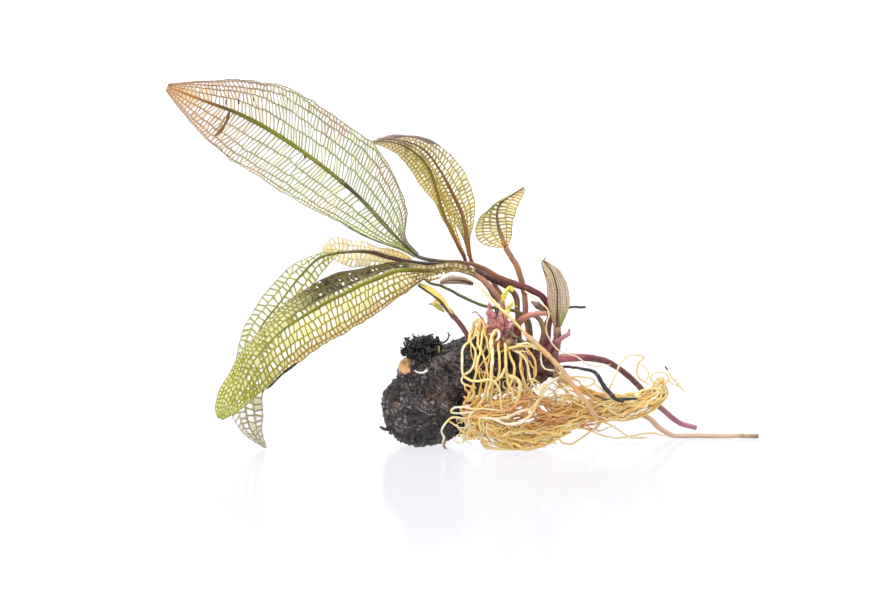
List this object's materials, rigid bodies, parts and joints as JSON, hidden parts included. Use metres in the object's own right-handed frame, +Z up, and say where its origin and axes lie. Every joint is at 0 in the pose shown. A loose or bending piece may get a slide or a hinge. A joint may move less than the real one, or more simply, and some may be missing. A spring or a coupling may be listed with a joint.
{
  "type": "madagascar lace plant",
  "caption": "Aquatic plant lying on a table: dark knobbly rhizome with pale roots, and arching stalks that carry leaves made only of a net of veins.",
  "frame": {"origin": "on the table, in the middle of the flattened underside that the rhizome rests on", "axes": "+X along the plant towards its trailing roots and cut stalks, +Y away from its front, +Z up"},
  "size_m": [0.2111, 0.0512, 0.1282],
  "materials": {
    "rhizome_bark": "matte",
    "leaf_green": "satin",
    "leaf_pale": "matte",
    "leaf_gold": "satin",
    "leaf_mauve": "satin",
    "stalk_maroon": "satin",
    "stalk_pink": "satin",
    "stalk_brown": "satin",
    "stalk_dark": "satin",
    "stalk_olive": "satin",
    "sheath": "satin",
    "root": "matte"
  },
  "bodies": {
    "root": {"rhizome": "rhizome_bark", "leaf_large": "leaf_green", "leaf_front": "leaf_green", "leaf_arching": "leaf_green", "leaf_pale": "leaf_pale", "leaf_gold_right": "leaf_gold", "leaf_gold_left": "leaf_gold", "leaf_small": "leaf_mauve", "leaf_folded": "leaf_mauve", "leaf_rolled": "stalk_maroon", "stalk_large": "stalk_maroon", "stalk_front": "stalk_pink", "stalk_arching": "stalk_dark", "stalk_pale": "stalk_olive", "stalk_gold_right": "stalk_brown", "stalk_gold_left": "stalk_maroon", "stalk_small": "stalk_brown", "stalk_folded": "stalk_pink", "stalk_withered": "stalk_brown", "stalk_broken": "stalk_pink", "stalk_bent": "stalk_dark", "stub_dark": "stalk_dark", "stub_pink": "stalk_pink", "stalk_cut": "stalk_maroon", "stalk_black": "stalk_dark", "stalk_lying": "stalk_brown", "sheath_left": "sheath", "sheath_middle": "sheath", "sheath_right": "sheath", "roots_hanging": "root", "roots_trailing": "root", "root_long": "root"}
  },
  "joints": []
}
